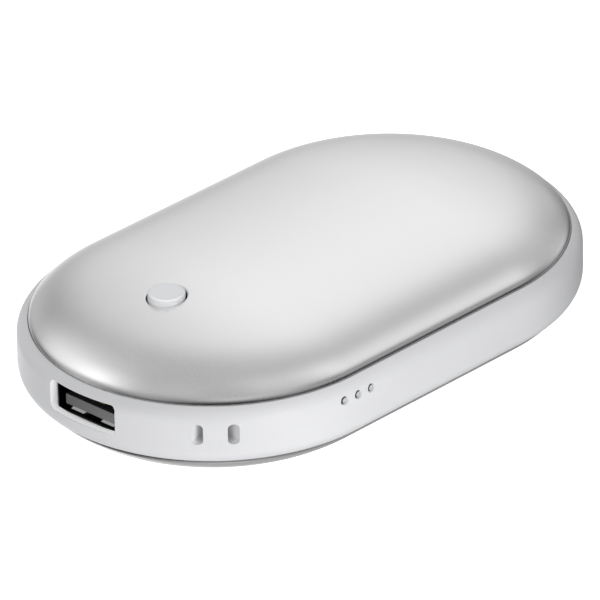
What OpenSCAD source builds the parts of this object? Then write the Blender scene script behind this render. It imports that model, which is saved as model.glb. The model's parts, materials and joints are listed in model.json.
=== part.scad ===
// Rechargeable hand warmer: a pebble of two pressed metal covers on a moulded plastic band.
// X runs along the body with the power outlet at -X, Y across it, Z up.
// The origin is the middle of the flat spot that it rests on.

/* [Body] */
// Length over the band, outlet end to far end
body_l = 100; // [98:1:104]
// Width over the band
body_w = 62.5; // [62:0.5:64]
// Height of the plastic band between the two covers
band_h = 9.5; // [9.5:0.5:11]
// How far the covers' rims stand in from the band's widest line
rim_inset = 1.9; // [1.8:0.1:2.1]
// Radius that rounds the band over towards each cover
band_edge_r = 2.9; // [2.7:0.1:3.2]
// Width of the flat lip beside each cover
lip_w = 0.25; // [0.2:0.05:0.35]
// Thickness of the band's wall
band_wall = 2.8; // [2.7:0.1:3]

/* [Covers] */
// Sheet thickness of both covers
cover_t = 0.8; // [0.7:0.1:0.9]
// Slope in degrees at which the crown turns into the shoulder
crown_tilt = 13.4; // [13.2:0.1:13.6]
// Radius of the shoulder
shoulder_r = 12.7; // [12.4:0.1:13]
// Slope in degrees at which the shoulder turns into the edge
shoulder_tilt = 46.4; // [46:0.2:47.4]
// Radius of the edge beside the rim
edge_r = 1.65; // [1.5:0.05:1.8]
// Slope in degrees at which the edge meets the rim
rim_tilt = 86; // [84:1:87]
// Depth of the rim's straight skirt inside the band
skirt_h = 0.9; // [0.7:0.05:0.95]
// Clearance between the skirt and the band
skirt_gap = 0.1; // [0.05:0.05:0.15]
// Width of the flat spot that the bottom cover rests on
rest_w = 16; // [12:1:18]

/* [Power button] */
// Distance from the outlet end to the button's axis
button_from_end = 21.1; // [20.8:0.1:22]
// Sideways offset of the button's axis, away from the lights
button_y = 0.6; // [0:0.1:0.8]
// Diameter of the button's cap
button_d = 5.9; // [5.6:0.1:6.2]
// Gap all round between the cap and its hole
button_gap = 0.27; // [0.2:0.01:0.35]
// How far the cap stands above the cover
button_proud = 1; // [0.6:0.1:1.4]
// Radius of the cap's top edge
button_edge_r = 0.35; // [0.2:0.05:0.5]
// Diameter of the collar that keeps the button in
button_flange_d = 8.4; // [7.6:0.2:8.8]
// Thickness of the collar
button_flange_t = 0.8; // [0.6:0.1:1]
// Diameter of the button's stem
button_stem_d = 4.6; // [4.2:0.1:5]
// Radial clearance of the stem in its guide
button_guide_gap = 0.2; // [0.15:0.05:0.3]
// How far the button and the switch travel
button_travel = 0.3; // [0.2:0.05:0.4]

/* [Power outlet] */
// Width of the outlet's mouth
outlet_w = 12.5; // [12.5:0.1:12.6]
// Height of the outlet's mouth
outlet_h = 5.12; // [5.1:0.02:5.2]
// Sheet thickness of the outlet's shell
outlet_t = 0.3; // [0.25:0.05:0.35]
// Length of the shell
outlet_l = 13.5; // [13:0.1:13.6]
// How far the shell stands back from the band
outlet_depth = 2.2; // [2.1:0.1:2.4]
// Turn of the outlet round the end arc's centre, towards the lights
outlet_turn = 2.3; // [0:0.1:3]
// Height of the mouth's middle over the band's mid-plane
outlet_z = 0.8; // [0.6:0.1:0.9]
// Thickness of the band's lip before the shell
outlet_lip = 1.2; // [1:0.05:1.3]
// Gap between the shell and its pocket in the band
outlet_gap = 0.3; // [0.2:0.05:0.35]
// Height of the band's window before the mouth, room for a plug 4.5 high
outlet_window_h = 5; // [4.9:0.1:5.1]
// Height of the window's middle over the mouth's middle
outlet_window_up = 0.22; // [0.14:0.02:0.26]
// Corner radius of the band's window
outlet_corner_r = 0.9; // [0.6:0.1:1.2]
// Thickness of the contact tongue
tongue_t = 1.7; // [1.6:0.02:1.84]
// Width of the contact tongue
tongue_w = 10.8; // [10.6:0.1:11.3]
// How far the tongue stands back inside the mouth
tongue_back = 0.6; // [0.4:0.1:1.2]
// How far the tongue's middle is below the mouth's middle
tongue_down = 1.04; // [0.9:0.02:1.08]
// Width of a leaf spring in the mouth
spring_w = 2.6; // [2:0.1:2.8]
// How far a leaf spring bows into the mouth
spring_rise = 0.5; // [0.3:0.05:0.55]

/* [Charging inlet] */
// Distance from the outlet end to the inlet's middle
inlet_from_end = 30; // [29:0.5:31]
// Width of the inlet's shell
inlet_w = 7.5; // [7.3:0.1:7.7]
// Height of the inlet's shell
inlet_h = 2.5; // [2.4:0.1:2.6]
// Length of the inlet's shell
inlet_l = 5.6; // [5:0.1:6]
// Sheet thickness of the inlet's shell
inlet_t = 0.25; // [0.2:0.05:0.3]
// How far the inlet stands back from the band
inlet_depth = 0.9; // [0.8:0.1:1.1]
// Gap between the inlet and its window, room for a plug's collar
inlet_gap = 0.45; // [0.3:0.05:0.5]

/* [Charge lights] */
// Distance from the outlet end to the first light
light_from_end = 27.8; // [27.4:0.1:28.4]
// Spacing of the lights
light_pitch = 2.8; // [2.6:0.1:3]
// Number of lights
light_count = 3; // [3]
// Diameter of a light's hole
light_hole_d = 1.45; // [1.4:0.05:1.6]
// Radial clearance of a light pipe in its hole
light_gap = 0.06; // [0.04:0.01:0.1]
// How far a light pipe's end stands back from the band
light_back = 0.4; // [0.2:0.05:0.5]
// Height of the lights over the band's mid-plane
light_z = 2.35; // [2.2:0.05:2.4]

/* [Lanyard eye] */
// Direction of the eye from the end arc's centre, in degrees from the tip
eye_turn = 44.5; // [40:0.5:46]
// Height of the eye's middle over the band's mid-plane
eye_z = 0.7; // [0.5:0.1:0.8]
// Height of the eye's openings
eye_h = 3.5; // [3.2:0.1:3.6]
// Width of the bar between the openings
eye_bar_w = 3.9; // [3.6:0.1:4.2]
// Width of each opening
eye_slot_w = 1.9; // [1.7:0.1:2]
// Distance that the curved tunnel's centre stands outside the band
eye_out = 2; // [1.9:0.1:2.2]
// Corner radius of the openings
eye_corner_r = 0.75; // [0.5:0.05:0.9]

/* [Cells] */
// Diameter of a cell without its sleeve
cell_d = 17.9; // [17.8:0.1:18]
// Length kept for the board between the outlet end and the cells' caps
board_room = 33.2; // [33:0.1:33.6]
// Thickness of the cells' sleeves
sleeve_t = 0.15; // [0.1:0.05:0.2]
// Gap between the two cells
cell_gap = 0.4; // [0.3:0.1:0.5]
// Distance from the far end to the cells' flat ends
cell_from_end = 17; // [16.8:0.1:17.4]
// Height of the positive caps
cap_h = 0.6; // [0.5:0.1:0.8]
// Radius of the positive caps
cap_r = 4; // [3.6:0.2:4.2]
// Thickness of the nickel strips
strip_t = 0.2; // [0.15:0.05:0.25]

/* [Carriers] */
// Thickness of the carriers' plates
plate_t = 1.6; // [1.4:0.1:1.7]
// Clearance of the carriers inside the covers
carrier_gap = 0.3; // [0.25:0.05:0.4]
// Clearance of the cells in their cradles
cell_clearance = 0.15; // [0.1:0.05:0.2]
// Thickness of a cradle rib
rib_t = 2; // [1.6:0.2:2.4]
// Number of cradle ribs
rib_count = 3; // [3:1:4]
// Diameter of the screw ears
ear_d = 5.5; // [5:0.1:5.6]
// Distance from the band's widest line in to the ears' axes
ear_inset = 7.9; // [7.8:0.05:8]
// How far the ears hang below the band's mid-plane
ear_drop = 4.9; // [4.8:0.1:5]

/* [Screws] */
// Diameter of the carrier screws
screw_d = 2; // [1.8:0.1:2.2]
// Length of the carrier screws under the head
screw_l = 5; // [4.6:0.2:5.4]
// Diameter of their heads
screw_head_d = 3.6; // [3.2:0.1:3.8]
// Height of their heads
screw_head_h = 1.1; // [0.9:0.1:1.2]
// Diameter of the board's screws
board_screw_d = 1.8; // [1.6:0.1:2]
// Diameter of their heads
board_screw_head_d = 3.4; // [3:0.2:3.6]
// Height of their heads
board_screw_head_h = 1; // [0.8:0.1:1.1]
// How far they reach below the board
board_screw_grip = 2.6; // [2.2:0.2:2.8]
// Diameter of the board's posts
post_d = 4.4; // [4:0.2:4.8]
// Distance from the outlet end to the two front screws
board_screw_from_end = 13; // [12.8:0.1:13.2]
// Distance of the front screws from the long axis
board_screw_y = 15.5; // [15.3:0.1:15.7]
// Distance of the third screw from the board's edge
edge_screw_back = 3.4; // [3.2:0.1:3.6]
// Distance of the third screw from the long axis
edge_screw_y = 13.5; // [13.3:0.1:13.7]

/* [Electronics] */
// Thickness of the main board
board_t = 1.2; // [1:0.1:1.3]
// Clearance of the board inside the band
board_gap = 0.6; // [0.5:0.1:0.8]
// Gap between the board and the cells
board_cell_gap = 1.8; // [1.6:0.1:2.2]
// Side of the switch's square body
switch_w = 6; // [5.8:0.1:6.2]
// Height of the switch's body
switch_h = 3.5; // [3.3:0.1:3.7]
// Height of the switch with its plunger
switch_total_h = 8; // [7.6:0.1:8.1]
// Diameter of the switch's plunger
plunger_d = 3.5; // [3.3:0.1:3.6]
// Thickness of the heater films
film_t = 0.25; // [0.2:0.05:0.3]
// How far the heater films reach from the body's long axis
film_r = 20; // [18:0.5:21]
// Thickness of the foam pads between films and cells
pad_t = 0.5; // [0.4:0.05:0.6]
// How far the foam pads reach from the body's long axis
pad_r = 12; // [10:0.5:12]
// Diameter of the internal leads
lead_d = 1.2; // [1:0.1:1.3]
// Spacing of a heater's two leads
lead_pitch = 3.5; // [3.3:0.1:3.7]
// Distance from the outlet end to the upper heater's first lead
top_lead_from_end = 16; // [15.8:0.1:16.2]
// Distance from the outlet end to the lower heater's first lead
bottom_lead_from_end = 15; // [14.8:0.1:15.2]
// Distance of the heaters' leads from the long axis
lead_y = 20; // [19.8:0.1:20.2]
// Height over the mid-plane at which the far lead runs between the cells
valley_z = 4.6; // [4.5:0.1:4.8]
// Radius of the leads' bends
bend_r = 2; // [1.8:0.1:2.2]
// Radius of the thermistor's bead
bead_r = 0.9; // [0.8:0.1:1]
// Distance of the thermistor from the long axis
bead_y = 12; // [11.8:0.1:12.2]

/* [Parts on the board] */
// Thickness of the light chips
led_h = 0.6; // [0.5:0.1:0.7]
// Distance from the lights' side to the light chips
led_inset = 4.8; // [4.7:0.1:4.9]
// Width of a light pipe's column
guide_w = 1.6; // [1.5:0.1:1.7]
// Thickness of the switch's floor
switch_floor_t = 0.8; // [0.7:0.1:0.9]
// Thickness of the switch's cover
switch_cover_t = 0.3; // [0.25:0.05:0.35]
// Side of the inductor
inductor_w = 8; // [7.8:0.1:8.2]
// Height of the inductor
inductor_h = 3.8; // [3.6:0.1:4]
// Distance from the outlet end to the inductor
inductor_from_end = 23.5; // [23.4:0.1:23.6]
// Distance of the inductor from the long axis
inductor_y = 13; // [12.8:0.1:13.2]
// Length of a power chip
chip_l = 5; // [4.8:0.1:5.2]
// Width of a power chip
chip_w = 4; // [3.8:0.1:4.1]
// Height of a power chip
chip_h = 1.5; // [1.3:0.1:1.7]
// Spacing of a power chip's legs
chip_pitch = 1.27; // [1.25:0.01:1.29]
// Distance from the outlet end to the charging chip
charge_chip_from_end = 12; // [11.9:0.1:12.2]
// Distance of the charging chip from the long axis
charge_chip_y = 10.5; // [10.4:0.1:10.6]
// Distance from the outlet end to the output chip
output_chip_from_end = 19.5; // [19.4:0.1:19.6]
// Distance of the output chip from the long axis
output_chip_y = 11; // [10.9:0.1:11.1]
// Length of a capacitor
capacitor_l = 3.5; // [3.3:0.1:3.6]
// Width of a capacitor
capacitor_w = 2.8; // [2.6:0.1:3]
// Height of a capacitor
capacitor_h = 1.9; // [1.7:0.1:2]
// Distance of the capacitors from the board's edge
capacitor_back = 3; // [2.9:0.1:3.2]
// Distance of the capacitors from the long axis
capacitor_y = 6; // [5.8:0.1:6.2]
// Length of a resistor
resistor_l = 1.6; // [1.5:0.1:1.7]
// Width of a resistor
resistor_w = 0.8; // [0.7:0.1:0.9]
// Height of a resistor
resistor_h = 0.45; // [0.4:0.05:0.5]
// Spacing of the resistors in a row
resistor_pitch = 2.6; // [2.5:0.1:2.7]
// Spacing of the two rows of resistors
resistor_row = 2; // [1.9:0.1:2.1]
// Distance from the outlet end to the first resistor
resistor_from_end = 24; // [23.9:0.1:24.1]
// Distance of the resistors' first row from the long axis
resistor_y = 16.5; // [16.4:0.1:16.6]

/* [Hidden] */

$fn = 96;
small = 0.01;
far = 200;

// The plan is a stadium: two end arcs of end_r, their centres half_c from the middle
half_l = body_l / 2;
end_r = body_w / 2;
half_c = half_l - end_r;
half_band = band_h / 2;
inner_r = end_r - band_wall;
seat_z = half_band - skirt_h;

// The covers' section: crown, shoulder and edge arcs, each tangent to the next
cover_r = end_r - rim_inset;
edge_cr = cover_r - edge_r * sin(rim_tilt);
edge_cz = -edge_r * cos(rim_tilt);
shoulder_cr = edge_cr - (shoulder_r - edge_r) * sin(shoulder_tilt);
shoulder_cz = edge_cz - (shoulder_r - edge_r) * cos(shoulder_tilt);
crown_r = shoulder_r + shoulder_cr / sin(crown_tilt);
crown_cz = shoulder_cz - (crown_r - shoulder_r) * cos(crown_tilt);
dome_h = crown_cz + crown_r;
skirt_in_r = edge_cr + sqrt(pow(edge_r - cover_t, 2) - pow(edge_cz, 2));
rest_cut = crown_r - sqrt(pow(crown_r, 2) - pow(rest_w / 2, 2));
mid_z = half_band + dome_h - rest_cut;

// The board and what stands on it
board_top = outlet_z - outlet_h / 2 - outlet_t;
board_bottom = board_top - board_t;
outlet_x = -half_l + outlet_depth;
outlet_back_x = outlet_x + outlet_l;
mouth_corner_r = 0.3;
button_x = -half_l + button_from_end;
inlet_x = -half_l + inlet_from_end;
inlet_y = end_r - inlet_depth;
inlet_z = board_top + inlet_h / 2;
light_x = [for (i = [0 : light_count - 1]) -half_l + light_from_end + i * light_pitch];
led_y = -end_r + led_inset;

// The cells
sleeve_r = cell_d / 2 + sleeve_t;
cell_y = sleeve_r + cell_gap / 2;
cell_x1 = half_l - cell_from_end;
cell_x0 = -half_l + board_room + cap_h;
cell_l = cell_x1 - cell_x0;
cap_x = cell_x0 - cap_h;
cells_y = cell_y + sleeve_r + cell_clearance;
board_edge_x = cap_x - board_cell_gap;
rib_x = [for (i = [0 : rib_count - 1]) cell_x0 + 5 + i * (cell_l - 17) / (rib_count - 1)];

// The carriers and screws
lower_top = -ear_drop;
ear_x = [cell_x0 + 10, cell_x1 - 9];
ear_y = end_r - ear_inset;
board_screw_l = board_t + board_screw_grip;
board_screw_at = [[-half_l + board_screw_from_end, board_screw_y],
    [-half_l + board_screw_from_end, -board_screw_y],
    [board_edge_x - edge_screw_back, -edge_screw_y]];
guide_below_cover = 3.5;
collar_over_guide = 0.6;
guide_top = mid_top(button_from_end) - guide_below_cover;
flange_top = guide_top + collar_over_guide + button_flange_t;
window_gap = 0.5;

// The small parts' places on the board and their sizes
lead_x = board_edge_x - edge_screw_back;
heater_lead_at = [for (i = [0, 1]) [-half_l + top_lead_from_end + i * lead_pitch, lead_y]];
bottom_lead_at = [for (i = [0, 1]) [-half_l + bottom_lead_from_end + i * lead_pitch, -lead_y]];
thermistor_at = [board_edge_x - 2.5 * bead_r, bead_y];
inductor_at = [-half_l + inductor_from_end, inductor_y];
chip_size = [chip_l, chip_w, chip_h];
chip_at = [[-half_l + charge_chip_from_end, charge_chip_y],
    [-half_l + output_chip_from_end, -output_chip_y]];
capacitor_size = [capacitor_l, capacitor_w, capacitor_h];
capacitor_at = [for (side = [1, -1]) [board_edge_x - capacitor_back, side * capacitor_y]];
resistor_size = [resistor_l, resistor_w, resistor_h];
resistor_at = [for (row = [0, 1], i = [0 : 2])
    [-half_l + resistor_from_end + i * resistor_pitch, -resistor_y - row * resistor_row]];

// Height over the rim plane of the covers' section at radius r, set in by off
function dome_z(r, off) =
    r < (crown_r - off) * sin(crown_tilt)
    ? crown_cz + sqrt(pow(crown_r - off, 2) - r * r)
    : shoulder_cz + sqrt(pow(shoulder_r - off, 2) - pow(r - shoulder_cr, 2));

// Height over the mid-plane of the top cover's outside on the long axis, at a distance from the end
function mid_top(from_end) = half_band + dome_z(max(end_r - from_end, 0), 0);

// Everything is drawn about the band's mid-plane and lifted onto the rest face
module lifted() { translate([0, 0, mid_z]) children(); }

// A pie slice of a circle between two slopes, measured from the vertical
module slice(centre, r, from, to) {
    translate(centre)
        intersection() {
            circle(r, $fn = 180);
            polygon([[0, 0], [far * sin(from), far * cos(from)], [far * sin(to), far * cos(to)]]);
        }
}

// Half section of a cover's dome, filled, set in by off, over the rim plane.
// Each slice starts inside the one before, so that the two overlap and end on the same tangent.
module dome_section(off) {
    intersection() {
        union() {
            slice([0, crown_cz], crown_r - off, 0, crown_tilt);
            slice([shoulder_cr, shoulder_cz], shoulder_r - off, crown_tilt - 5, shoulder_tilt);
            if (edge_r > off) slice([edge_cr, edge_cz], edge_r - off, shoulder_tilt - 15, 100);
        }
        square([far, far]);
    }
}

// The same with the bottom cover's flat spot
module bottom_section(off) {
    intersection() {
        dome_section(off);
        square([far, dome_h - rest_cut - off]);
    }
}

// Carries a half section round the stadium: both end arcs and the straight middle
module round_body() {
    for (side = [0, 1])
        mirror([side, 0, 0])
            translate([half_c, 0, 0])
                rotate(-90)
                    rotate_extrude(angle = 180)
                        children();
    rotate([90, 0, 90])
        linear_extrude(2 * half_c, center = true) {
            children();
            mirror([1, 0]) children();
        }
}

// Plan outline of a stadium with end arcs of radius r
module stadium(r) {
    square([2 * half_c, 2 * r], center = true);
    for (side = [-1, 1]) translate([side * half_c, 0]) circle(r);
}

// A rectangle with rounded corners, centred
module round_rect(w, h, r) {
    square([w - 2 * r, h], center = true);
    square([w, h - 2 * r], center = true);
    for (x = [-1, 1], y = [-1, 1])
        translate([x * (w / 2 - r), y * (h / 2 - r)]) circle(r, $fn = 48);
}

// Turns a section drawn in Y and Z into a bar along +X
module along_x(length) { rotate([90, 0, 90]) linear_extrude(length) children(); }

// Turns what is drawn on the long axis with the outlet, about the end arc's centre
module at_outlet() {
    translate([-half_c, 0, 0]) rotate(outlet_turn) translate([half_c, 0, 0]) children();
}

// Puts children at both sides of the long axis
module both_sides() {
    children();
    mirror([0, 1, 0]) children();
}

// The room inside a cover, set in by off from its outside, from the mid-plane to the crown
module room(off, bottom) {
    mirror([0, 0, bottom ? 1 : 0])
        round_body()
            union() {
                square([skirt_in_r - (off - cover_t), half_band + small]);
                translate([0, half_band])
                    if (bottom) bottom_section(off);
                    else dome_section(off);
            }
}

// The two cells' space with their clearance
module cells_space() {
    for (side = [-1, 1])
        translate([cell_x0 - cap_h - strip_t - cell_clearance, side * cell_y, 0])
            rotate([0, 90, 0])
                cylinder(r = sleeve_r + cell_clearance,
                    h = cell_l + cap_h + 2 * strip_t + 2 * cell_clearance);
}

module ear_places() {
    for (x = ear_x, y = [-ear_y, ear_y]) translate([x, y, 0]) children();
}

// Pressed metal cover over the cells, with the button's hole
module top_cover() {
    color("silver")
        lifted()
            difference() {
                translate([0, 0, half_band])
                    round_body() {
                        difference() {
                            dome_section(0);
                            dome_section(cover_t);
                        }
                        translate([skirt_in_r, -skirt_h]) square([cover_r - skirt_in_r, skirt_h]);
                    }
                translate([button_x, button_y, half_band])
                    cylinder(d = button_d + 2 * button_gap, h = dome_h + 1);
            }
}

// The same cover below, pressed flat where it rests
module bottom_cover() {
    color("silver")
        lifted()
            translate([0, 0, -half_band])
                mirror([0, 0, 1])
                    round_body() {
                        difference() {
                            bottom_section(0);
                            bottom_section(cover_t);
                        }
                        translate([skirt_in_r, -skirt_h]) square([cover_r - skirt_in_r, skirt_h]);
                    }
}

// Half section of the band: rounded outside, rebates for both skirts inside
module band_section() {
    mouth_r = cover_r + skirt_gap;
    inset = end_r - mouth_r - lip_w;
    arc_z = half_band - band_edge_r * sin(acos(1 - inset / band_edge_r));
    difference() {
        union() {
            square([end_r, 2 * arc_z], center = false);
            translate([0, -2 * arc_z]) square([end_r, 2 * arc_z]);
        }
        for (up = [0, 1])
            mirror([0, up])
                translate([0, arc_z]) square([far, far]);
        translate([-far, -far]) square([far + inner_r, 2 * far]);
    }
    for (up = [0, 1])
        mirror([0, up])
            difference() {
                intersection() {
                    translate([inner_r, arc_z]) square([end_r - inner_r, half_band - arc_z]);
                    union() {
                        translate([end_r - band_edge_r, arc_z]) circle(band_edge_r);
                        translate([0, -far]) square([end_r - band_edge_r, 2 * far]);
                    }
                }
                translate([0, seat_z]) square([mouth_r, far]);
            }
}

// The lanyard's curved tunnel: a ring whose centre stands outside the band
module eye_tunnel() {
    bar_in = sqrt(pow(eye_out, 2) + pow(eye_bar_w / 2, 2));
    slot_out = sqrt(pow(eye_out, 2) + pow(eye_bar_w / 2 + eye_slot_w, 2));
    translate([end_r + eye_out, 0, eye_z])
        rotate_extrude()
            translate([(bar_in + slot_out) / 2, 0])
                round_rect(slot_out - bar_in, eye_h, eye_corner_r);
}

// Turns children into the eye's direction, from the end arc's centre
module at_eye() { translate([-half_c, 0, 0]) rotate(180 + eye_turn) children(); }

// Moulded band with its windows, screw ears and the lanyard's eye
module middle_frame() {
    eye_block_w = eye_bar_w + 2 * eye_slot_w + 2.6;
    color("white")
        lifted()
            difference() {
                union() {
                    round_body() band_section();
                    ear_places() translate([0, 0, -ear_drop]) cylinder(d = ear_d, h = ear_drop + seat_z);
                    for (x = ear_x)
                        both_sides()
                            translate([x - 1.2, ear_y, -seat_z])
                                cube([2.4, ear_inset - band_wall / 2, 2 * seat_z]);
                    at_eye()
                        translate([inner_r - 1.2, -eye_block_w / 2, eye_z - eye_h / 2 - 0.8])
                            cube([1.2 + band_wall / 2, eye_block_w, seat_z - eye_z + eye_h / 2 + 0.8]);
                }
                ear_places() translate([0, 0, -ear_drop - 1]) cylinder(d = screw_d, h = far);
                at_eye() eye_tunnel();
                at_outlet() outlet_window();
                translate([inlet_x, end_r + 1, inlet_z])
                    rotate([90, 0, 0])
                        linear_extrude(band_wall + 2)
                            round_rect(inlet_w + 2 * inlet_gap, inlet_h + 2 * inlet_gap, 0.8);
                for (x = light_x)
                    translate([x, led_y, light_z])
                        rotate([90, 0, 0])
                            cylinder(d = light_hole_d, h = end_r, $fn = 32);
            }
}

// The outlet's window in the band, and the pocket behind its lip that the shell stands in
module outlet_window() {
    pocket_w = outlet_w + 2 * outlet_t + 2 * outlet_gap;
    translate([-half_l - 1, 0, outlet_z + outlet_window_up])
        along_x(band_wall + 4)
            round_rect(pocket_w, outlet_window_h, outlet_corner_r);
    intersection() {
        translate([-half_l - 1, 0, outlet_z])
            along_x(band_wall + 4)
                round_rect(pocket_w, outlet_h + 2 * outlet_t + 2 * outlet_gap, outlet_corner_r);
        translate([0, 0, -half_band]) linear_extrude(band_h) stadium(end_r - outlet_lip);
    }
}

// Ribs that cradle the cells, in a cover's room
module ribs(bottom) {
    rib_y = cells_y + 2.4;
    difference() {
        intersection() {
            room(cover_t + film_t + pad_t + cell_clearance, bottom);
            for (x = rib_x)
                translate([x - rib_t / 2, -rib_y, bottom ? -far + lower_top : seat_z])
                    cube([rib_t, 2 * rib_y, far]);
        }
        cells_space();
    }
}

// A carrier's flat plate between two heights, open over the cells
module plate(z, bottom) {
    difference() {
        intersection() {
            room(cover_t + carrier_gap, bottom);
            translate([-far, -far, z]) cube([2 * far, 2 * far, plate_t]);
        }
        translate([cap_x - strip_t - window_gap, -cells_y, z - 1])
            cube([cell_l + cap_h + 2 * strip_t + 2 * window_gap, 2 * cells_y, plate_t + 2]);
    }
}

// Moulded clamp over the cells, with the button's guide
module upper_carrier() {
    color("gainsboro")
        lifted()
            difference() {
                union() {
                    plate(seat_z, false);
                    ribs(false);
                    translate([button_x, button_y, seat_z])
                        cylinder(d = button_stem_d + 3.2, h = guide_top - seat_z);
                }
                ear_places() cylinder(d = screw_d + 0.4, h = far);
                translate([button_x, button_y, 0])
                    cylinder(d = button_stem_d + 2 * button_guide_gap, h = far);
                at_outlet()
                    translate([outlet_x - 5, -outlet_w / 2 - 1, 0])
                        cube([outlet_l + 6, outlet_w + 2,
                            outlet_z + outlet_h / 2 + outlet_t + window_gap]);
                translate([light_x[0] - 2, -far, 0])
                    cube([light_x[light_count - 1] - light_x[0] + 4, far + led_y + 2, far]);
                translate([cell_x0 - 3, -lead_d, 0])
                    cube([cell_l + 4, 2 * lead_d, valley_z + lead_d]);
                translate([lead_x - lead_d, -lead_d, 0])
                    cube([cell_x0 - lead_x + lead_d, 2 * lead_d, valley_z + lead_d]);
                for (p = heater_lead_at) translate([p[0], p[1], 0]) cylinder(d = lead_d + 1, h = far);
                translate([thermistor_at[0], thermistor_at[1], 0]) cylinder(r = 2.2, h = far);
                translate([(cell_x1 + half_l) / 2 - 1, 0, 0]) cylinder(r = 4, h = far);
            }
}

// Moulded tray under the cells, with the board's posts
module lower_carrier() {
    color("gainsboro")
        lifted()
            difference() {
                union() {
                    plate(lower_top - plate_t, true);
                    ribs(true);
                    for (p = board_screw_at)
                        translate([p[0], p[1], lower_top - small])
                            cylinder(d = post_d, h = board_bottom - lower_top + small);
                }
                ear_places() translate([0, 0, -far]) cylinder(d = screw_d + 0.4, h = far);
                for (p = board_screw_at)
                    translate([p[0], p[1], board_top - board_screw_l])
                        cylinder(d = board_screw_d, h = far);
                for (p = bottom_lead_at)
                    translate([p[0], p[1], -far]) cylinder(d = lead_d + 1, h = far);
                translate([(cell_x1 + half_l) / 2 - 1, 0, -far]) cylinder(r = 4, h = far);
            }
}

// A pan-head screw pointing down from its seat at the origin, with a cross recess
module pan_screw(d, l, head_d, head_h) {
    difference() {
        union() {
            translate([0, 0, -l]) cylinder(d = d, h = l);
            intersection() {
                cylinder(d = head_d, h = head_h);
                translate([0, 0, head_h - head_d]) sphere(head_d);
            }
        }
        for (turn = [0, 90])
            rotate(turn)
                translate([-head_d / 4, -0.2, head_h / 2])
                    cube([head_d / 2, 0.4, head_h]);
    }
}

module upper_screws() {
    color("dimgray")
        lifted()
            ear_places()
                translate([0, 0, seat_z + plate_t])
                    pan_screw(screw_d, screw_l, screw_head_d, screw_head_h);
}

module lower_screws() {
    color("dimgray")
        lifted()
            ear_places()
                translate([0, 0, lower_top - plate_t])
                    rotate([180, 0, 0])
                        pan_screw(screw_d, screw_l, screw_head_d, screw_head_h);
}

module board_screws() {
    color("dimgray")
        lifted()
            for (p = board_screw_at)
                translate([p[0], p[1], board_top])
                    pan_screw(board_screw_d, board_screw_l, board_screw_head_d, board_screw_head_h);
}

// Cap, collar and stem in one moulding
module power_button() {
    top = mid_top(button_from_end) + button_proud;
    r = button_d / 2;
    stem_z = board_top + switch_total_h;
    color("whitesmoke")
        lifted()
            translate([button_x, button_y, 0])
                rotate_extrude() {
                    translate([0, stem_z]) square([button_stem_d / 2, top - stem_z - 1]);
                    translate([0, flange_top - button_flange_t])
                        square([button_flange_d / 2, button_flange_t]);
                    translate([0, flange_top - small])
                        square([r, top - button_edge_r - flange_top + small]);
                    translate([0, top - 2 * button_edge_r])
                        square([r - button_edge_r, 2 * button_edge_r]);
                    intersection() {
                        translate([r - button_edge_r, top - button_edge_r]) circle(button_edge_r, $fn = 32);
                        translate([r - button_edge_r, top - button_edge_r]) square(2);
                    }
                }
}

// The switch's pusher, which the stem stands on
module switch_plunger() {
    base = board_top + switch_floor_t + 0.2 + button_travel;
    color("dimgray")
        lifted()
            translate([button_x, button_y, 0]) {
                translate([0, 0, base]) cylinder(d = plunger_d, h = board_top + switch_total_h - base);
                translate([0, 0, base]) cylinder(d = plunger_d + 0.8, h = 0.6);
            }
}

// The switch's case, bored for the pusher
module switch_body() {
    color("black")
        lifted()
            translate([button_x, button_y, board_top])
                difference() {
                    linear_extrude(switch_h - switch_cover_t) round_rect(switch_w, switch_w, 0.6);
                    translate([0, 0, switch_floor_t]) cylinder(d = plunger_d + 1.2, h = switch_h);
                }
}

// The steel plate that closes the switch's case
module switch_cover() {
    color("silver")
        lifted()
            translate([button_x, button_y, board_top + switch_h - switch_cover_t]) {
                difference() {
                    linear_extrude(switch_cover_t) round_rect(switch_w, switch_w, 0.6);
                    translate([0, 0, -1]) cylinder(d = plunger_d + 0.2, h = 3);
                }
                for (x = [-1, 1], y = [-1, 1])
                    translate([x * (switch_w / 2 - 0.8), y * (switch_w / 2 - 0.8), switch_cover_t - small])
                        cylinder(d = 0.8, h = 0.15 + small, $fn = 24);
            }
}

// The snap disc under the pusher, shown pressed through
module switch_dome() {
    color("silver")
        lifted()
            translate([button_x, button_y, board_top + switch_floor_t])
                cylinder(d = plunger_d, h = 0.1);
}

// The switch's four legs, folded flat onto the board
module switch_pins() {
    color("silver")
        lifted()
            for (x = [-1, 1], y = [-1, 1])
                translate([button_x + x * (switch_w / 2 + 0.1), button_y + y * 2.25 - 0.35, board_top])
                    mirror([x < 0 ? 1 : 0, 0, 0]) {
                        translate([-0.1, 0, 0]) cube([1.2, 0.7, 0.2]);
                        translate([-0.1, 0, 0]) cube([0.2, 0.7, 1]);
                    }
}

// Plan outline of the main board: a half moon with an arm beside the cells
module board_plan() {
    intersection() {
        stadium(inner_r - board_gap);
        union() {
            translate([-far, -far]) square([far + board_edge_x, 2 * far]);
            translate([-far, -far])
                square([far + light_x[light_count - 1] + 3.6, far - cells_y - 1]);
        }
    }
}

module main_board() {
    color("darkgreen")
        lifted()
            difference() {
                translate([0, 0, board_bottom]) linear_extrude(board_t) board_plan();
                for (p = board_screw_at)
                    translate([p[0], p[1], -far]) cylinder(d = board_screw_d, h = far);
                at_outlet() outlet_legs(0.25);
            }
}

// The outlet shell's four legs through the board, grown by gap for their holes
module outlet_legs(gap) {
    leg_w = 2;
    for (x = [outlet_x + 4, outlet_x + 9.5], side = [-1, 1])
        translate([x - gap, side * (outlet_w / 2 + outlet_t / 2) - outlet_t / 2 - gap,
            board_bottom - 0.4 - gap])
            cube([leg_w + 2 * gap, outlet_t + 2 * gap, board_t + 0.4 + 2 * gap + 2]);
}

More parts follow.
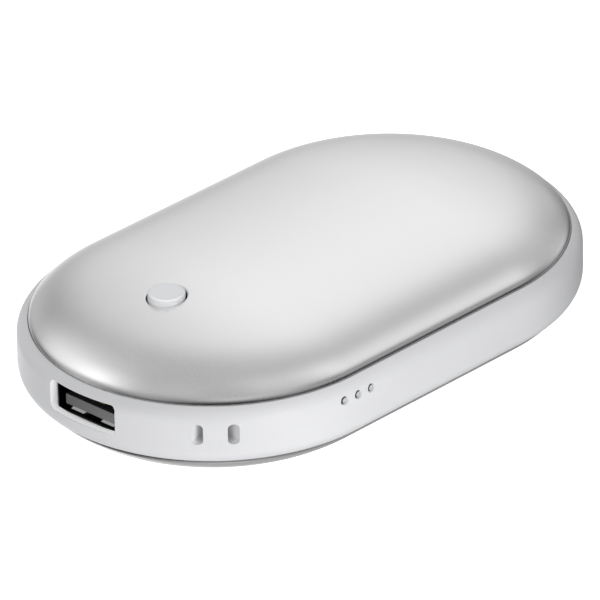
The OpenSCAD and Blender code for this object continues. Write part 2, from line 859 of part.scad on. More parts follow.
// A leaf spring pressed out of the outlet's wall, bowed into the mouth
module outlet_spring() {
    bow_r = 9;
    translate([outlet_x + 3.5, 0, 0])
        rotate([90, 0, 0])
            linear_extrude(spring_w, center = true)
                intersection() {
                    translate([0, spring_rise - bow_r])
                        difference() {
                            circle(bow_r);
                            circle(bow_r - 0.25);
                        }
                    translate([-bow_r, -outlet_t / 2]) square([2 * bow_r, spring_rise + 1]);
                }
}

// Folded steel shell of the power outlet, with its springs and legs
module usb_a_shell() {
    color("dimgray")
        lifted()
            at_outlet() {
                translate([outlet_x, 0, outlet_z])
                    along_x(outlet_l)
                        difference() {
                            round_rect(outlet_w + 2 * outlet_t, outlet_h + 2 * outlet_t,
                                mouth_corner_r + outlet_t);
                            round_rect(outlet_w, outlet_h, mouth_corner_r);
                        }
                outlet_legs(0);
                for (side = [-1, 1], up = [0, 1])
                    translate([0, side * 3.15, outlet_z])
                        mirror([0, 0, up])
                            translate([0, 0, -outlet_h / 2])
                                outlet_spring();
            }
}

// Moulded tongue and rear block inside the outlet
module usb_a_tongue() {
    back_l = 4;
    color("gray")
        lifted()
            at_outlet()
                difference() {
                    union() {
                        translate([outlet_x + tongue_back, 0, outlet_z - tongue_down])
                            along_x(outlet_l - tongue_back - back_l + small)
                                square([tongue_w, tongue_t], center = true);
                        translate([outlet_back_x - back_l, 0, outlet_z])
                            along_x(back_l)
                                round_rect(outlet_w, outlet_h, mouth_corner_r);
                    }
                    contact_bars(0);
                }
}

// The four contacts' strips on top of the tongue, and their legs down behind the block
module contact_bars(extra) {
    strip = 0.2;
    top = outlet_z - tongue_down + tongue_t / 2;
    for (y = [-3.5, -1, 1, 3.5])
        translate([0, y - 0.5, 0]) {
            translate([outlet_x + tongue_back + 1.2, 0, top - strip])
                cube([outlet_l - tongue_back - 1.2 + 0.4, 1, strip]);
            if (extra > 0)
                translate([outlet_back_x + 0.2, 0, board_top]) cube([0.2, 1, top - board_top]);
        }
}

module usb_a_contacts() {
    color("gold")
        lifted()
            at_outlet() contact_bars(1);
}

// Section of the charging inlet: square shoulders above, drawn in below
module inlet_section(off) {
    w = inlet_w / 2 - off;
    h = inlet_h / 2 - off;
    polygon([[-w, h], [w, h], [w, -h / 3], [w - 1.1, -h], [1.1 - w, -h], [-w, -h / 3]]);
}

module along_inlet(length) {
    translate([inlet_x, inlet_y, inlet_z]) rotate([90, 0, 0]) linear_extrude(length) children();
}

module inlet_shell() {
    color("silver")
        lifted()
            along_inlet(inlet_l)
                difference() {
                    inlet_section(0);
                    inlet_section(inlet_t);
                }
}

module inlet_tongue() {
    back_l = 1.6;
    color("black")
        lifted()
            difference() {
                union() {
                    translate([0, -inlet_l + back_l, 0]) along_inlet(back_l) inlet_section(inlet_t);
                    translate([0, -0.8, 0])
                        along_inlet(inlet_l - back_l)
                            translate([0, 0.35]) square([3.7, 0.6], center = true);
                }
                inlet_bars();
            }
}

module inlet_bars() {
    for (i = [-2 : 2])
        translate([inlet_x + i * 0.65 - 0.2, inlet_y - inlet_l - 0.6, inlet_z + 0.05])
            cube([0.4, inlet_l - 0.8, 0.15]);
}

module inlet_contacts() {
    color("gold")
        lifted() {
            inlet_bars();
            for (i = [-2 : 2])
                translate([inlet_x + i * 0.65 - 0.2, inlet_y - inlet_l - 0.6, board_top])
                    cube([0.4, 0.2, inlet_z + 0.2 - board_top]);
        }
}

module led_chips() {
    color("lightyellow")
        lifted()
            for (x = light_x)
                translate([x - 0.8, led_y - 0.4, board_top]) {
                    cube([1.6, 0.8, led_h / 2]);
                    translate([0.25, 0, led_h / 2 - small]) cube([1.1, 0.8, led_h / 2 + small]);
                }
}

// One clear moulding: a column over each chip, a pipe to each hole and a bar on two feet behind them
module light_guide() {
    pipe_d = light_hole_d - 2 * light_gap;
    column_z = board_top + led_h + 0.1;
    bar_t = 0.8;
    foot_w = 1;
    first_x = light_x[0] - guide_w / 2;
    last_x = light_x[light_count - 1] + guide_w / 2;
    color("aliceblue")
        lifted() {
            for (x = light_x) {
                translate([x - guide_w / 2, led_y - guide_w / 2, column_z])
                    cube([guide_w, guide_w, light_z + guide_w / 2 - column_z]);
                intersection() {
                    translate([x, led_y, light_z])
                        rotate([90, 0, 0])
                            cylinder(d = pipe_d, h = end_r, $fn = 32);
                    translate([0, 0, light_z - guide_w])
                        linear_extrude(2 * guide_w) stadium(end_r - light_back);
                }
            }
            translate([first_x - foot_w, led_y + guide_w / 2 - small, light_z])
                cube([last_x - first_x + 2 * foot_w, bar_t, guide_w / 2]);
            for (x = [first_x - foot_w, last_x])
                translate([x, led_y + guide_w / 2 - small, board_top])
                    cube([foot_w, bar_t, light_z - board_top + small]);
        }
}

// Wound inductor in a square moulded case with a round core
module inductor() {
    color("dimgray")
        lifted()
            translate([inductor_at[0], inductor_at[1], board_top]) {
                linear_extrude(inductor_h - 0.8) round_rect(inductor_w, inductor_w, 1.4);
                cylinder(d = inductor_w - 1, h = inductor_h);
            }
}

// Charging and output chips, each with four legs a side
module power_chips() {
    color("black")
        lifted()
            for (p = chip_at)
                translate([p[0], p[1], board_top]) {
                    translate([-chip_size[0] / 2, -chip_size[1] / 2, 0.1])
                        cube([chip_size[0], chip_size[1], chip_size[2] - 0.1]);
                    for (i = [-1.5 : 1.5])
                        translate([i * chip_pitch - 0.2, -chip_size[1] / 2 - 0.9, 0])
                            cube([0.4, chip_size[1] + 1.8, 0.4]);
                }
}

module capacitors() {
    color("goldenrod")
        lifted()
            for (p = capacitor_at)
                translate([p[0], p[1], board_top + capacitor_h / 2])
                    cube(capacitor_size, center = true);
}

module resistors() {
    color("black")
        lifted()
            for (p = resistor_at)
                translate([p[0], p[1], board_top + resistor_h / 2])
                    cube(resistor_size, center = true);
}

// A cell along X: rolled steel can, crimped shoulder and positive cap at -X
module cell() {
    r = cell_d / 2;
    color("lightsteelblue")
        lifted()
            translate([cell_x0, cell_y, 0])
                rotate([0, 90, 0])
                    rotate_extrude() {
                        difference() {
                            square([r, cell_l]);
                            translate([r + 0.35, 3.2]) circle(0.8, $fn = 24);
                        }
                        translate([0, -cap_h]) square([cap_r, cap_h + small]);
                    }
}

module left_cell() { cell(); }

module right_cell() { mirror([0, 1, 0]) cell(); }

// The shrunk sleeve round a cell
module sleeve() {
    color("royalblue")
        lifted()
            translate([cell_x0, cell_y, 0])
                rotate([0, 90, 0])
                    difference() {
                        cylinder(r = sleeve_r, h = cell_l);
                        translate([0, 0, -1]) cylinder(d = cell_d, h = cell_l + 2);
                    }
}

module left_sleeve() { sleeve(); }

module right_sleeve() { mirror([0, 1, 0]) sleeve(); }

// Nickel strip over the positive caps, its tail soldered to the board
module positive_strip() {
    strip_w = 6;
    tail_w = 4;
    color("silver")
        lifted() {
            translate([cap_x - strip_t, -cell_y - cap_r, -strip_w / 2])
                cube([strip_t, 2 * cell_y + 2 * cap_r, strip_w]);
            translate([board_edge_x - 1.6, -tail_w / 2, board_top])
                cube([cap_x - board_edge_x + 1.6, tail_w, strip_t]);
        }
}

// Nickel strip over the flat ends, with an ear up into the valley between the cells
module negative_strip() {
    strip_w = 6;
    color("silver")
        lifted() {
            translate([cell_x1, -cell_y - cap_r, -strip_w / 2])
                cube([strip_t, 2 * cell_y + 2 * cap_r, strip_w]);
            translate([cell_x1, -2, 0]) cube([strip_t, 4, valley_z + lead_d]);
        }
}

// Insulated lead from the negative strip along the valley and down to the board
module negative_lead() {
    run = cell_x1 - lead_x - bend_r;
    color("black")
        lifted() {
            translate([cell_x1 - run, 0, valley_z])
                rotate([0, 90, 0]) cylinder(d = lead_d, h = run, $fn = 32);
            translate([lead_x + bend_r, 0, valley_z - bend_r])
                rotate([90, 0, 0])
                    rotate(90)
                        rotate_extrude(angle = 90)
                            translate([bend_r, 0]) circle(d = lead_d, $fn = 32);
            translate([lead_x, 0, board_top])
                cylinder(d = lead_d, h = valley_z - bend_r - board_top, $fn = 32);
        }
}

// Heater film bonded inside the top cover, cut away round the button
module top_heater() {
    color("chocolate")
        lifted()
            difference() {
                translate([0, 0, half_band])
                    round_body()
                        intersection() {
                            difference() {
                                dome_section(cover_t);
                                dome_section(cover_t + film_t);
                            }
                            square([film_r, far]);
                        }
                translate([button_x, button_y, 0]) cylinder(d = button_flange_d + 1.6, h = far);
            }
}

module bottom_heater() {
    color("chocolate")
        lifted()
            translate([0, 0, -half_band])
                mirror([0, 0, 1])
                    round_body()
                        intersection() {
                            difference() {
                                bottom_section(cover_t);
                                bottom_section(cover_t + film_t);
                            }
                            square([film_r, far]);
                        }
}

// Foam between a heater film and the cells, over the cells' length
module pad(bottom) {
    color("darkgray")
        lifted()
            intersection() {
                mirror([0, 0, bottom ? 1 : 0])
                    translate([0, 0, half_band])
                        round_body()
                            intersection() {
                                difference() {
                                    if (bottom) bottom_section(cover_t + film_t);
                                    else dome_section(cover_t + film_t);
                                    if (bottom) bottom_section(cover_t + film_t + pad_t);
                                    else dome_section(cover_t + film_t + pad_t);
                                }
                                square([pad_r, far]);
                            }
                translate([cell_x0, -far, -far]) cube([cell_l, 2 * far, 2 * far]);
            }
}

module top_pad() { pad(false); }

module bottom_pad() { pad(true); }

// Temperature bead held up to the top film on two stiff legs
module thermistor() {
    from_axis = norm([min(thermistor_at[0] + half_c, 0), thermistor_at[1]]);
    top = half_band + dome_z(from_axis, cover_t + film_t) - 0.3;
    color("maroon")
        lifted()
            translate([thermistor_at[0], thermistor_at[1], 0]) {
                translate([0, 0, top - bead_r]) sphere(bead_r, $fn = 32);
                for (y = [-0.45, 0.45])
                    translate([0, y, board_top])
                        cylinder(d = 0.5, h = top - bead_r - board_top, $fn = 16);
            }
}

// Supply leads from the board up to the top film
module top_heater_leads() {
    color("red")
        lifted()
            for (p = heater_lead_at)
                translate([p[0], p[1], board_top])
                    cylinder(d = lead_d, h = lead_top(p) - board_top, $fn = 32);
}

// Height at which a lead at a place meets the covers' room with a little slack
function lead_top(p) =
    half_band + dome_z(norm([min(p[0] + half_c, 0), p[1]]) + lead_d / 2, cover_t + film_t) - 0.2;

// Supply leads from the board's underside down to the bottom film
module bottom_heater_leads() {
    color("red")
        lifted()
            for (p = bottom_lead_at)
                translate([p[0], p[1], -lead_top(p)])
                    cylinder(d = lead_d, h = lead_top(p) + board_bottom, $fn = 32);
}

top_cover();
bottom_cover();
middle_frame();
upper_carrier();
lower_carrier();
upper_screws();
lower_screws();
power_button();
switch_plunger();
switch_body();
switch_cover();
switch_dome();
switch_pins();
main_board();
board_screws();
usb_a_shell();
usb_a_tongue();
usb_a_contacts();
inlet_shell();
inlet_tongue();
inlet_contacts();
led_chips();
light_guide();
inductor();
power_chips();
capacitors();
resistors();
left_cell();
right_cell();
left_sleeve();
right_sleeve();
positive_strip();
negative_strip();
negative_lead();
top_heater();
bottom_heater();
top_pad();
bottom_pad();
thermistor();
top_heater_leads();
bottom_heater_leads();
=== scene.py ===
"""Rechargeable hand warmer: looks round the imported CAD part. Metres, Z up, power outlet at -X, charge lights at -Y."""

import json
import math

import bmesh
import bpy
import numpy as np
from mathutils import Matrix, Vector


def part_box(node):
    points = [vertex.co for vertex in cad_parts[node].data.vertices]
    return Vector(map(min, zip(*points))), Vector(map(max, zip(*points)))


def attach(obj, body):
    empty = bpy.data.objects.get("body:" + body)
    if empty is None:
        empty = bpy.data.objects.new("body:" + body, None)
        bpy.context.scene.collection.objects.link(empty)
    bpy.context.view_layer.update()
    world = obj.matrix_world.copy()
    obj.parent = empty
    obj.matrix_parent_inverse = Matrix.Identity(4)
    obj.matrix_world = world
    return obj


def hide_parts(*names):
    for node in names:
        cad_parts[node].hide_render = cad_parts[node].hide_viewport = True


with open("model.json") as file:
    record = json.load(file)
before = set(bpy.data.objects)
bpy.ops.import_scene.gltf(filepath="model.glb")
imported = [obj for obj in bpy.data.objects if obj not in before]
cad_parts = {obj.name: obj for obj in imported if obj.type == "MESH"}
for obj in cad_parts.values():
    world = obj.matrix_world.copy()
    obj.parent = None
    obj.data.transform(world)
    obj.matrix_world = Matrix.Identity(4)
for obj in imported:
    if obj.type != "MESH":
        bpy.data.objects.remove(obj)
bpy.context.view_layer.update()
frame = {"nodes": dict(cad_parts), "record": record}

MM = 0.001
MID_Z = 11.7 * MM  # height of the band's mid-plane over the floor
HALF_LINE = 18.75 * MM  # from the body's middle to an end arc's middle, along the stadium's middle line
END_R = 31.25 * MM  # radius of the band's end arcs
BUTTON = (-28.9 * MM, 0.6 * MM)  # the button's axis
CAP_R = 2.95 * MM  # radius of the button's cap
OUTLET_AIM = math.radians(182.3)  # direction in plan that the outlet faces, seen from its end arc's middle


# ---------------------------------------------------------------- materials


class Value:
    """A number on its way through a node tree. Each operator adds one Math node."""

    def __init__(self, nodes, socket):
        self.nodes = nodes
        self.socket = socket

    def math(self, operation, *others):
        """The result of one more Math node, fed by this value and the others."""
        return self.nodes.node("ShaderNodeMath", {"operation": operation}, dict(enumerate((self, *others))))

    def __add__(self, other):
        return self.math("ADD", other)

    def __sub__(self, other):
        return self.math("SUBTRACT", other)

    def __mul__(self, other):
        return self.math("MULTIPLY", other)

    def __truediv__(self, other):
        return self.math("DIVIDE", other)

    def __pow__(self, other):
        return self.math("POWER", other)

    def __abs__(self):
        return self.math("ABSOLUTE")

    def __rsub__(self, other):
        return self.math("MULTIPLY", -1.0) + other

    __radd__ = __add__
    __rmul__ = __mul__

    def at_least(self, least):
        """This value, or least where that is larger."""
        return self.math("MAXIMUM", least)

    def above(self, start, end):
        """0 below start, 1 above end and straight between."""
        return ((self - start) / (end - start)).at_least(0.0).math("MINIMUM", 1.0)

    def spread(self):
        """Noise, most of which keeps near 0.5, spread over 0 to 1."""
        return self.above(0.35, 0.65)

    def swing(self, width):
        """Noise round 0.5 made a change round 0, this wide from end to end."""
        return (self - 0.5) * width


def reach(first, second):
    """Length of a vector with these two values as its parts."""
    return (first * first + second * second) ** 0.5


class Nodes:
    """A node tree and the one way to add nodes to it."""

    def __init__(self, tree):
        self.tree = tree

    def node(self, kind, settings, sockets, out=0):
        """Adds a node, makes its settings, then sets or links its sockets."""
        node = self.tree.nodes.new(kind)
        for name, value in settings.items():
            setattr(node, name, value)
        for key, value in sockets.items():
            if isinstance(value, Value):
                self.tree.links.new(value.socket, node.inputs[key])
            else:
                node.inputs[key].default_value = value
        return Value(self, node.outputs[out])


class Finish(Nodes):
    """A material for one of the object's finishes, painted through its Principled shader."""

    def __init__(self, name, **constants):
        self.material = bpy.data.materials.new(name)
        self.material.use_nodes = True
        super().__init__(self.material.node_tree)
        self.shader = self.tree.nodes["Principled BSDF"]
        for socket, value in constants.items():
            self.shader.inputs[socket.replace("_", " ")].default_value = value
        self.place = self.node("ShaderNodeTexCoord", {}, {}, "Object")

    def scaled(self, x, y, z):
        """Object coordinates stretched by these factors, for patterns that run along one axis."""
        return self.node("ShaderNodeVectorMath", {"operation": "MULTIPLY"}, {0: self.place, 1: (x, y, z)})

    def axis(self, letter):
        """Object coordinate along X, Y or Z."""
        return self.node("ShaderNodeSeparateXYZ", {}, {0: self.place}, letter)

    def along(self, angle, start):
        """Distance in plan from the point start, counted in the direction of angle."""
        x, y = self.axis("X") - start[0], self.axis("Y") - start[1]
        return x * math.cos(angle) + y * math.sin(angle)

    def noise(self, size, detail=2.0, roughness=0.5, place=None):
        """Cloudy values round 0.5 whose lumps are about size metres across."""
        return self.node(
            "ShaderNodeTexNoise", {},
            {"Vector": place or self.place, "Scale": 1 / size, "Detail": detail, "Roughness": roughness},
        )

    def mix(self, share, first, second):
        """Colour between first and second."""
        ends = [end if isinstance(end, Value) else (*end, 1) for end in (first, second)]
        return self.node("ShaderNodeMix", {"data_type": "RGBA"}, {0: share, 6: ends[0], 7: ends[1]}, 2)

    def grey(self, level):
        """A colour of this level in all its channels, for glows."""
        return self.mix(level, (0, 0, 0), (1, 1, 1))

    def bump(self, height, depth):
        """Surface relief of this depth in metres from a height of 0 to 1."""
        return self.node("ShaderNodeBump", {}, {"Height": height, "Distance": depth})

    def paint(self, **sockets):
        """Links values to the shader's sockets and gives the finished material."""
        for socket, value in sockets.items():
            self.tree.links.new(value.socket, self.shader.inputs[socket.replace("_", " ")])
        return self.material


def cover_metal():
    """Pressed aluminium, fine blasted and clear anodised: a sparkling grain and faint handling clouds."""
    f = Finish("cover_metal", Metallic=1.0)
    grain = f.noise(0.16 * MM, 2, 0.6)
    fine = f.noise(0.07 * MM, 1, 0.5)
    clouds = f.noise(9 * MM, 3, 0.55)
    tone = (grain * 0.6 + fine * 0.25 + clouds * 0.15).above(0.3, 0.7)
    return f.paint(
        Base_Color=f.mix(tone, (0.752, 0.75, 0.75), (0.852, 0.85, 0.85)),
        Roughness=0.25 + grain.swing(0.1) + clouds.swing(0.04),
        Normal=f.bump(grain * 0.7 + fine * 0.3, 0.006 * MM),
    )


def moulding(f, roughness, grain_size):
    """What all mouldings share: fine spark-eroded grain, slow flow clouds and a little gloss change from both.

    Gives the share of light colour, the roughness and the grain.
    """
    grain = f.noise(grain_size, 2, 0.55)
    flow = f.noise(14 * MM, 2, 0.5, f.scaled(1, 1, 2.2))
    return (flow * 0.7 + grain * 0.3).spread(), roughness + grain.swing(0.16) + flow.swing(0.06), grain


def moulded(name, light, dark, roughness, grain_size=0.25 * MM, relief=0.003 * MM):
    """Plain moulded plastic."""
    f = Finish(name)
    share, gloss, grain = moulding(f, roughness, grain_size)
    return f.paint(Base_Color=f.mix(share, dark, light), Roughness=gloss, Normal=f.bump(grain, relief))


def band_plastic():
    """Milky moulding of the band, with painted light where an opening cuts into it: a painted glow on the opening's
    walls near the outside and painted shade deeper in.

    Depth is counted from the band's outside, which is straight in the middle and rounded above and below. The painted
    glow fades with the depth. The windows of outlet and inlet, told from the small openings by their Y, get a brighter
    painted glow and no painted shade inside.
    """
    edge_r, straight = 2.9 * MM, 2.183 * MM  # radius of the rounded edges, and their start over the mid-plane
    opening_top = 3.7 * MM  # no opening reaches further from the mid-plane
    # Emission carries the painted glow in the openings.
    f = Finish("band_plastic", Emission_Strength=1.0)
    share, gloss, grain = moulding(f, 0.42, 0.3 * MM)
    level = abs(f.axis("Z") - MID_Z)
    curl = (level - straight).at_least(0.0)  # height into the rounding
    inset = edge_r - (edge_r ** 2 - curl * curl).at_least(0.0) ** 0.5
    beyond = (abs(f.axis("X")) - HALF_LINE).at_least(0.0)
    depth = END_R - inset - reach(beyond, f.axis("Y"))
    # Walls of an opening, where the painted glow and painted shade go.
    opening = depth.above(0.05 * MM, 0.14 * MM) * (opening_top - level).above(0.0, 0.05 * MM)
    window = f.axis("Y").above(-9.0 * MM, -8.0 * MM)
    # Painted shade: the small openings' walls darken with depth.
    painted_depth_shade = depth.above(0.7 * MM, 1.8 * MM) * (1.0 - window)
    # How far the painted glow fades with depth: by up to 0.3 in the small openings, by up to 0.1 in the windows.
    glow_fade = depth.above(0.1 * MM, 1.5 * MM) * (0.3 - window * 0.2)
    tone = f.mix(share, (0.775, 0.777, 0.796), (0.80, 0.802, 0.822))
    # Base colour: painted shade deep in the small openings. Emission: painted glow on the openings' walls, brighter in
    # the windows.
    return f.paint(
        Base_Color=f.mix(painted_depth_shade * 0.6, tone, (0.05, 0.05, 0.05)),
        Roughness=gloss,
        Normal=f.bump(grain, 0.0015 * MM),
        Emission_Color=f.grey(opening * (0.36 - glow_fade) * (0.3 + window * 0.7)),
    )


def frosted():
    """Frosted translucent button with painted light: a painted glow over all but its side wall, a painted highlight
    along the front of the ring round its dished top, and a painted glow on the side wall that is brighter at the
    front.
    """
    f = Finish("button_plastic", Emission_Strength=1.0)
    frost = f.noise(0.12 * MM, 2, 0.55)
    radius = reach(f.axis("X") - BUTTON[0], f.axis("Y") - BUTTON[1])
    # Share facing -X and -Y: the side that gets the painted light.
    front = (f.along(math.radians(225), BUTTON) / (radius + 0.01 * MM)).above(0.25, 0.95)
    wall = radius.above(CAP_R - 0.11 * MM, CAP_R - 0.03 * MM)
    # Painted highlight along the front of the ring round the dished top.
    ring = radius.above(CAP_R - 0.49 * MM, CAP_R - 0.35 * MM) * (1.0 - wall) * front
    # Emission: painted glow over the cap, painted highlight on the ring, painted glow on the wall, brighter at the
    # front.
    return f.paint(
        Base_Color=f.mix(frost.spread(), (0.70, 0.71, 0.73), (0.74, 0.75, 0.77)),
        Roughness=0.4 + frost.swing(0.16),
        Normal=f.bump(frost, 0.003 * MM),
        Emission_Color=f.grey((1.0 - wall) * 0.17 + ring * 0.26 + wall * (front * 0.2 + 0.03)),
    )


def plated(name, light, dark, roughness, stretch=(1, 1, 1)):
    """Plated or rolled sheet: rolling lines, short along the stretched axes, over small clouds."""
    f = Finish(name, Metallic=1.0)
    lines = f.noise(0.3 * MM, 3, 0.6, f.scaled(*stretch))
    clouds = f.noise(3 * MM)
    return f.paint(
        Base_Color=f.mix((lines * 0.6 + clouds * 0.4).spread(), dark, light),
        Roughness=roughness + lines.swing(0.2) + clouds.swing(0.08),
        Normal=f.bump(lines, 0.002 * MM),
    )


def board_laminate():
    """Green solder mask over glass weave, with lighter traces where copper lies below it."""
    f = Finish("board_laminate", Coat_Weight=0.3)
    weave = f.node("ShaderNodeTexChecker", {}, {"Vector": f.place, "Scale": 1 / (0.35 * MM)}, "Fac")
    traces = f.node(
        "ShaderNodeTexBrick", {"offset": 0.37}, {"Vector": f.place, "Scale": 1 / (4 * MM), "Mortar Size": 0.06}, "Fac",
    )
    mask = f.mix(weave * 0.3 + f.noise(0.8 * MM) * 0.4, (0.012, 0.10, 0.04), (0.02, 0.16, 0.06))
    return f.paint(
        Base_Color=f.mix(traces * 0.6, mask, (0.05, 0.3, 0.12)),
        Roughness=0.34 + f.noise(0.5 * MM).swing(0.1),
        Normal=f.bump(traces + weave * 0.1, 0.02 * MM),
    )


def foam():
    """Closed-cell foam: torn cells a third of a millimetre across."""
    f = Finish("foam", Specular_IOR_Level=0.2)
    holes = f.node("ShaderNodeTexVoronoi", {}, {"Vector": f.place, "Scale": 1 / (0.3 * MM)}, "Distance")
    return f.paint(
        Base_Color=f.mix(holes.above(0.1, 0.6), (0.03, 0.03, 0.032), (0.09, 0.09, 0.095)),
        Roughness=0.85 + holes * 0.1,
        Normal=f.bump(holes, 0.08 * MM),
    )


def heater_film():
    """Amber polyimide with the etched track showing through as darker lines."""
    f = Finish("heater_film", Coat_Weight=0.4)
    track = f.node(
        "ShaderNodeTexWave", {"wave_type": "BANDS", "bands_direction": "Y"},
        {"Vector": f.place, "Scale": 1 / (12 * MM), "Distortion": 1.0, "Detail": 1.0},
    )
    return f.paint(
        Base_Color=f.mix(track.above(0.45, 0.6), (0.16, 0.055, 0.012), (0.5, 0.22, 0.04)),
        Roughness=0.28 + f.noise(0.7 * MM) * 0.1,
        Normal=f.bump(track, 0.02 * MM),
    )


def light_pipe():
    """Clear moulding with a frosted face, with painted shade as a dark crescent in each light hole.

    The painted shade covers what lies further than about half a millimetre from a spot below the hole's middle and
    away from the outlet.
    """
    middle_x, middle_z = -19.4 * MM, MID_Z + 2.35 * MM  # middle of the middle hole
    pitch = 2.8 * MM  # from one hole to the next
    f = Finish("light_pipe", Specular_IOR_Level=0.2)
    frost = f.noise(0.3 * MM, 1, 0.5)
    x = (f.axis("X") - middle_x).math("WRAP", pitch / 2, -pitch / 2)
    # Painted shade: the dark crescent in each hole.
    dark = reach(x - 0.42 * MM, f.axis("Z") - (middle_z - 0.24 * MM)).above(0.38 * MM, 0.55 * MM)
    return f.paint(
        Base_Color=f.mix(dark, (0.6, 0.6, 0.61), (0.035, 0.035, 0.035)),
        Roughness=0.5 + frost.swing(0.1),
        Normal=f.bump(frost, 0.002 * MM),
    )


def tongue_plastic():
    """Dark grey moulding of the outlet's tongue: the face towards the mouth is grey, with painted light that makes it
    lighter towards -Y, and painted shade darkens what lies behind that face.
    """
    face = 28.45 * MM  # from the end arc's middle to the tongue's face
    f = Finish("tongue_plastic")
    speckle = f.noise(0.1 * MM, 2, 0.55)
    # Painted shade behind the tongue's face, deeper in the mouth.
    painted_inner_shade = (face - f.along(OUTLET_AIM, (-HALF_LINE, 0))).above(0.04 * MM, 0.12 * MM)
    across = f.along(OUTLET_AIM + math.pi / 2, (-HALF_LINE, 0))
    # Painted light: the face grows lighter towards -Y.
    grey = f.mix(across.above(-5.4 * MM, 3.5 * MM), (0.17, 0.17, 0.172), (0.27, 0.27, 0.275))
    return f.paint(
        Base_Color=f.mix(painted_inner_shade, f.mix(speckle * 0.25, grey, (0.12, 0.12, 0.12)), (0.022, 0.022, 0.023)),
        Roughness=0.5 + speckle.swing(0.2),
        Normal=f.bump(speckle, 0.006 * MM),
    )


def outlet_plate():
    """Black plating on the outlet's shell, rubbed to bright steel on its leaf springs, which also carry a painted glow
    as a painted reflection.

    The springs are found by their place: to either side of the mouth's middle, and up to 0.34 mm from its floor
    and ceiling, where a plug's edge rubs them.
    """
    mouth_z, mouth_half_h = MID_Z + 0.8 * MM, 2.56 * MM
    spring_off, spring_half_w = 3.15 * MM, 1.32 * MM  # a spring's distance from the mouth's middle, half its width
    f = Finish("outlet_black", Metallic=1.0, Emission_Strength=1.0)
    across = f.along(OUTLET_AIM + math.pi / 2, (-HALF_LINE, 0))
    rise = mouth_half_h - abs(f.axis("Z") - mouth_z)
    # Near floor and ceiling: where the plating wears off and where the painted glow goes.
    wear_and_glow = rise.above(0.03 * MM, 0.06 * MM) * (0.34 * MM - rise).above(0.0, 0.12 * MM)
    spring = abs(abs(across) - spring_off).math("LESS_THAN", spring_half_w) * wear_and_glow
    lines = f.noise(0.25 * MM, 3, 0.6, f.scaled(1, 6, 6))
    black = f.mix(lines.spread(), (0.006, 0.006, 0.007), (0.02, 0.02, 0.022))
    steel = f.mix(lines.spread(), (0.6, 0.6, 0.6), (0.8, 0.8, 0.79))
    # Emission: a painted glow on the springs, standing in for their reflection.
    return f.paint(
        Base_Color=f.mix(spring, black, steel),
        Roughness=0.32 + lines.swing(0.2),
        Normal=f.bump(lines, 0.002 * MM),
        Emission_Color=f.grey(spring * 0.3),
    )


def make_finishes():
    """Every finish that the record's slots name."""
    return {
        "cover_metal": cover_metal(),
        "band_plastic": band_plastic(),
        "carrier_plastic": moulded("carrier_plastic", (0.60, 0.60, 0.57), (0.54, 0.54, 0.51), 0.5),
        "button_plastic": frosted(),
        "dark_plastic": moulded("dark_plastic", (0.028, 0.028, 0.03), (0.018, 0.018, 0.019), 0.45),
        "tongue_plastic": tongue_plastic(),
        "capacitor_ceramic": moulded("capacitor_ceramic", (0.30, 0.20, 0.11), (0.24, 0.155, 0.08), 0.5, 0.15 * MM),
        "ferrite": moulded("ferrite", (0.06, 0.06, 0.064), (0.035, 0.035, 0.037), 0.6, 0.2 * MM, 0.02 * MM),
        "sleeve_film": moulded("sleeve_film", (0.03, 0.10, 0.36), (0.022, 0.075, 0.29), 0.3, 1.2 * MM, 0.02 * MM),
        "lead_black": moulded("lead_black", (0.02, 0.02, 0.02), (0.012, 0.012, 0.012), 0.55, 0.2 * MM, 0.01 * MM),
        "lead_red": moulded("lead_red", (0.42, 0.02, 0.016), (0.33, 0.014, 0.012), 0.5, 0.2 * MM, 0.01 * MM),
        "bead_epoxy": moulded("bead_epoxy", (0.16, 0.03, 0.02), (0.11, 0.02, 0.014), 0.25, 0.4 * MM, 0.02 * MM),
        "led_phosphor": moulded("led_phosphor", (0.80, 0.70, 0.28), (0.74, 0.62, 0.2), 0.35, 0.1 * MM),
        "screw_steel": plated("screw_steel", (0.2, 0.2, 0.21), (0.10, 0.10, 0.105), 0.36),
        "tin_plate": plated("tin_plate", (0.66, 0.66, 0.64), (0.50, 0.50, 0.49), 0.32, (1, 6, 6)),
        "outlet_black": outlet_plate(),
        "contact_brass": plated("contact_brass", (0.9, 0.66, 0.28), (0.72, 0.48, 0.16), 0.26, (1, 6, 6)),
        "cell_steel": plated("cell_steel", (0.6, 0.61, 0.63), (0.45, 0.46, 0.48), 0.3, (0.4, 3, 3)),
        "nickel": plated("nickel", (0.68, 0.66, 0.62), (0.52, 0.51, 0.48), 0.33, (6, 1, 6)),
        "board_laminate": board_laminate(),
        "foam": foam(),
        "heater_film": heater_film(),
        "light_pipe": light_pipe(),
    }


# ---------------------------------------------------------------- meshes


def grid_mesh(name, points, closed):
    """A mesh from points[ring, column]: each square of four neighbours is a face.

    The columns run all the way round, and so do the rings of a closed grid.
    """
    rings, columns = points.shape[:2]
    index = np.arange(rings * columns).reshape(rings, columns)
    if closed:
        index = np.vstack([index, index[:1]])
    index = np.hstack([index, index[:, :1]])
    faces = np.stack([index[:-1, :-1], index[:-1, 1:], index[1:, 1:], index[1:, :-1]], -1).reshape(-1, 4)
    mesh = bpy.data.meshes.new(name)
    mesh.vertices.add(rings * columns)
    mesh.vertices.foreach_set("co", points.reshape(-1).astype(np.float32))
    mesh.loops.add(faces.size)
    mesh.loops.foreach_set("vertex_index", faces.reshape(-1))
    mesh.polygons.add(len(faces))
    mesh.polygons.foreach_set("loop_start", np.arange(0, faces.size, 4))
    mesh.polygons.foreach_set("use_smooth", np.ones(len(faces), bool))
    mesh.update(calc_edges=True)
    mesh.validate()
    return mesh


